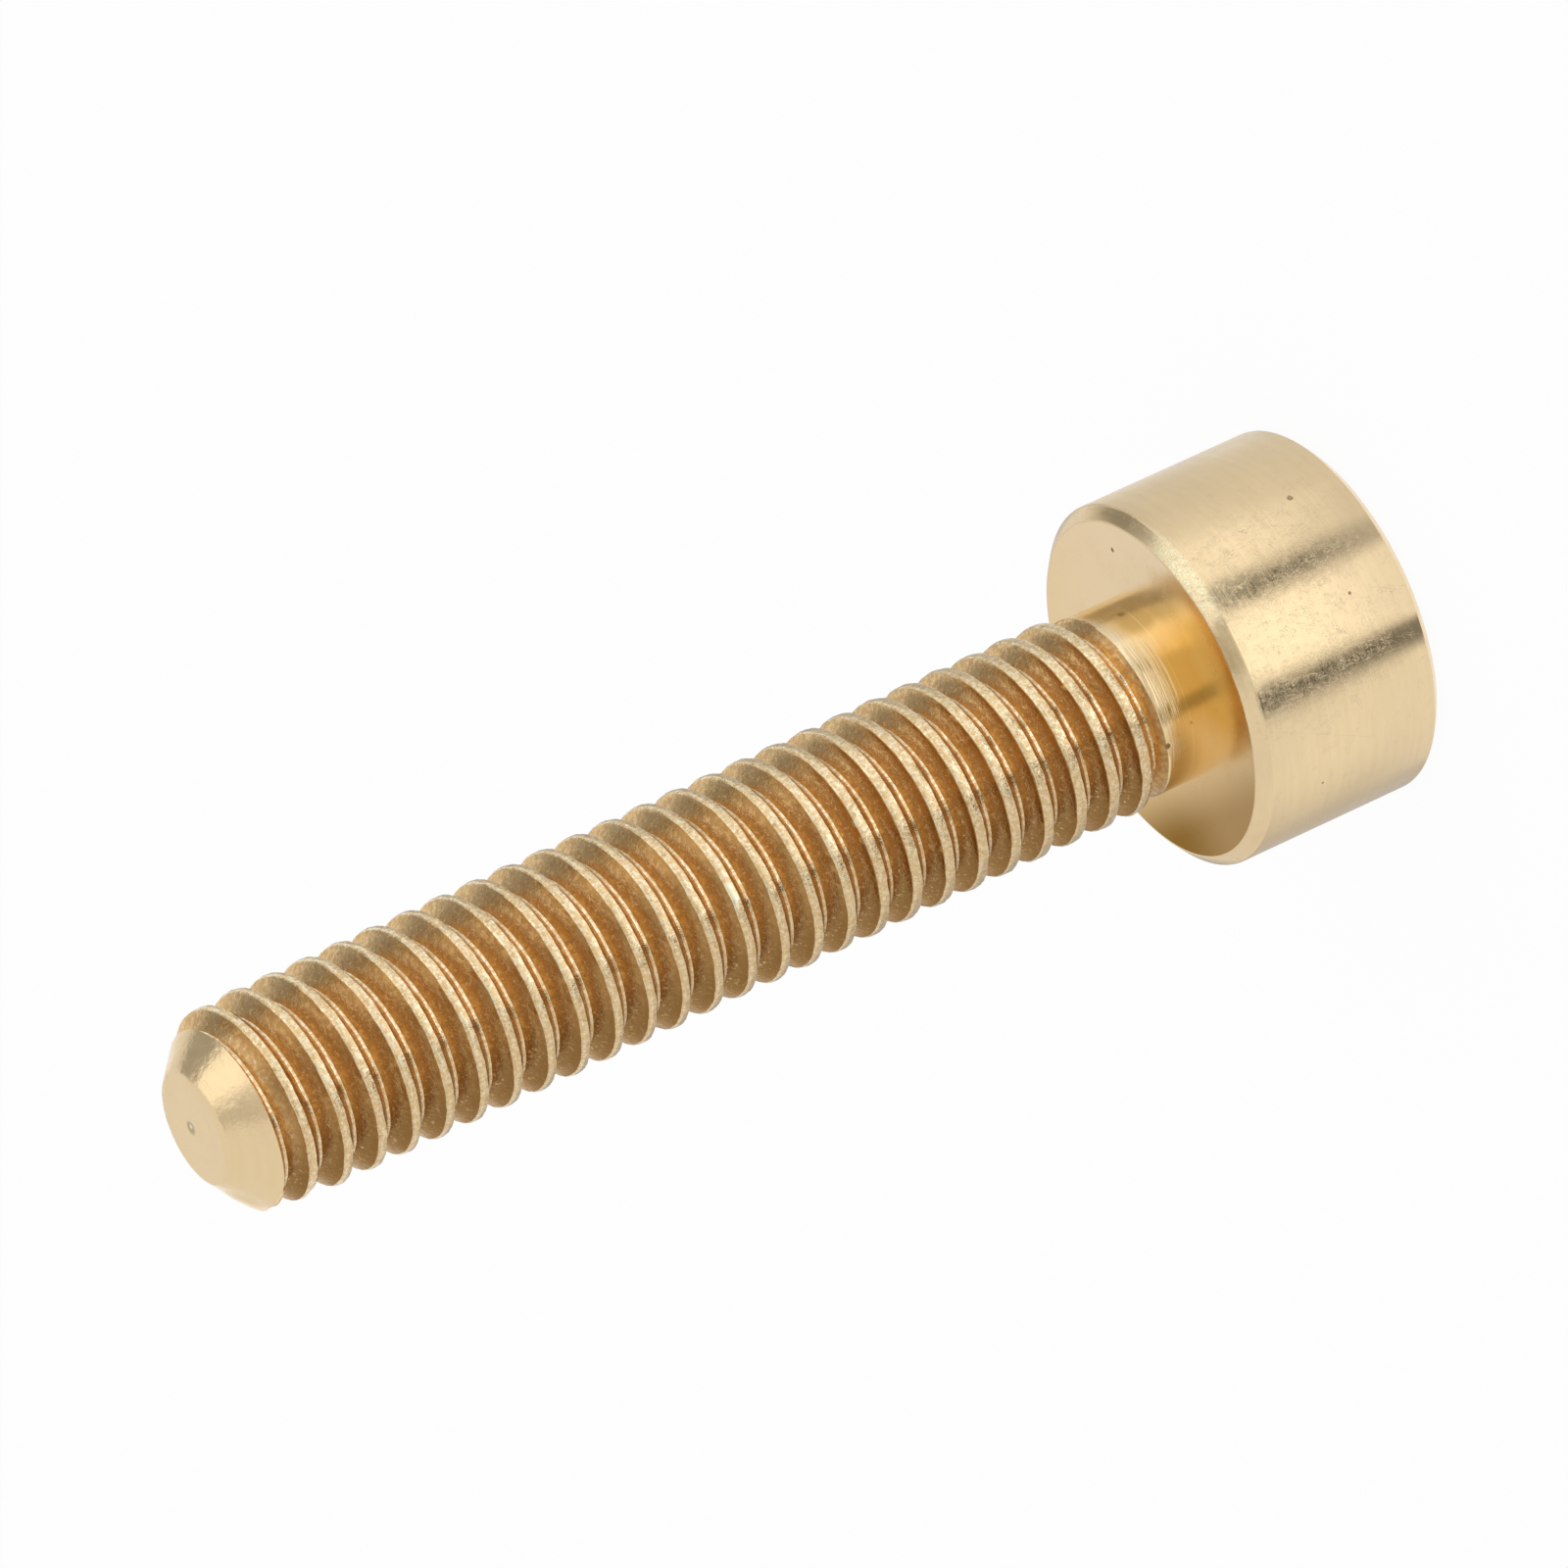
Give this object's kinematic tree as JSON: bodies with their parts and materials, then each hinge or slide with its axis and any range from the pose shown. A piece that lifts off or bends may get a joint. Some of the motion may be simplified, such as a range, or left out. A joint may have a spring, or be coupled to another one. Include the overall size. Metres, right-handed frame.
{
  "type": "socket head cap screw",
  "caption": "Brass socket head cap screw with a plain cylindrical head, a hexagon socket, a short neck and a right-hand rolled thread.",
  "frame": {"origin": "centre of the seat under the head", "axes": "+Z along the shank, from the head to the point; the flats of the socket face +X and -X"},
  "size_m": [0.0068, 0.0068, 0.024],
  "materials": {
    "brass": "turned and rolled, bare, lightly tarnished"
  },
  "bodies": {
    "root": {"cap_screw": "brass"}
  },
  "joints": []
}
